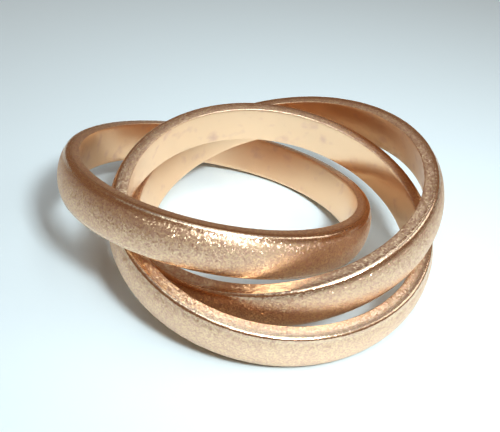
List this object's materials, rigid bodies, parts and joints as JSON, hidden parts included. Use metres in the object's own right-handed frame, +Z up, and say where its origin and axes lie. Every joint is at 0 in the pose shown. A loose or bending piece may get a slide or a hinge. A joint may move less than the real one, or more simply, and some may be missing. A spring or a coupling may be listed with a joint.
{
  "type": "three-piece rolling ring",
  "caption": "Finger ring of equal interlinked rose gold bands with domed, brushed outsides and smooth bores, which roll over each other; it lies fanned out on a surface.",
  "frame": {"origin": "on the surface that the ring lies on, under the middle of the box round the three bands", "axes": "+Z up from the surface, -Y towards the viewer of the picture, +X to the viewer's right"},
  "size_m": [0.0256, 0.024, 0.0085],
  "materials": {
    "rose_gold": "fine sparkling brushed finish on the dome and the side faces, smooth satin polish in the bore"
  },
  "bodies": {
    "front": {"band_front": "rose_gold"},
    "left": {"band_left": "rose_gold"},
    "right": {"band_right": "rose_gold"}
  },
  "joints": [
    {"name": "left_roll", "type": "hinge", "parent": "front", "child": "left", "pos_m": [-0.00211, 0.0014, 0.00391], "axis": [0.1154, 0.2126, 0.9703], "continuous": true},
    {"name": "right_roll", "type": "hinge", "parent": "front", "child": "right", "pos_m": [0.00229, 0.0006, 0.00423], "axis": [-0.2503, -0.1114, 0.9617], "continuous": true}
  ]
}
